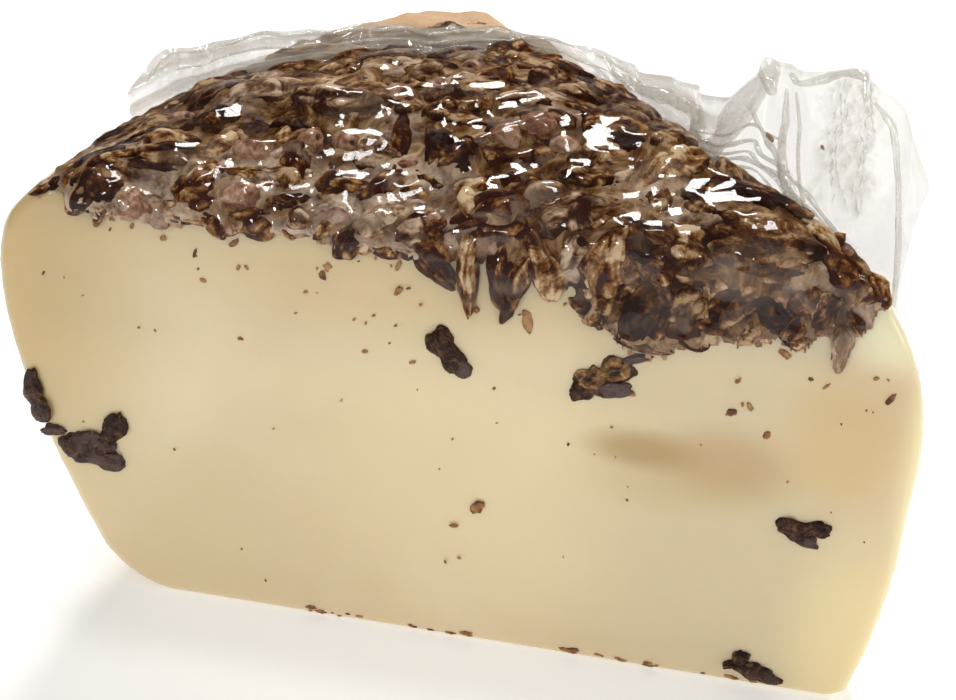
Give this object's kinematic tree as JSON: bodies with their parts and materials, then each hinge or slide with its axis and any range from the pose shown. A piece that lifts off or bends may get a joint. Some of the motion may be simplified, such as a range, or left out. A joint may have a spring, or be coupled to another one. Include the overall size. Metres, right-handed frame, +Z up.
{
  "type": "caciotta cheese wedge",
  "caption": "Wedge of pale soft cheese with a thick dark grape marc crust, sealed in clear film that stands up in a loose fold.",
  "frame": {"origin": "centre of the bounding box in plan, at the level of the flat base", "axes": "+Z up, +X along the large cut face from the rind to the thin tip, -Y out of that cut face"},
  "size_m": [0.1448, 0.1108, 0.0973],
  "materials": {
    "paste": "ivory cheese under clear skin-tight film, satin to glossy",
    "marc": "wet dark brown grape skins and pips under clear film, glossy",
    "pressed_skin": "dark purple-brown grape skin, satin",
    "film": "clear soft vacuum film, glossy"
  },
  "bodies": {
    "root": {"paste": "paste", "crust": "marc", "film_fold": "film", "marc_skin_1": "pressed_skin", "marc_skin_2": "pressed_skin", "marc_skin_3": "pressed_skin", "marc_skin_4": "pressed_skin", "marc_skin_5": "pressed_skin", "marc_skin_6": "pressed_skin"}
  },
  "joints": []
}
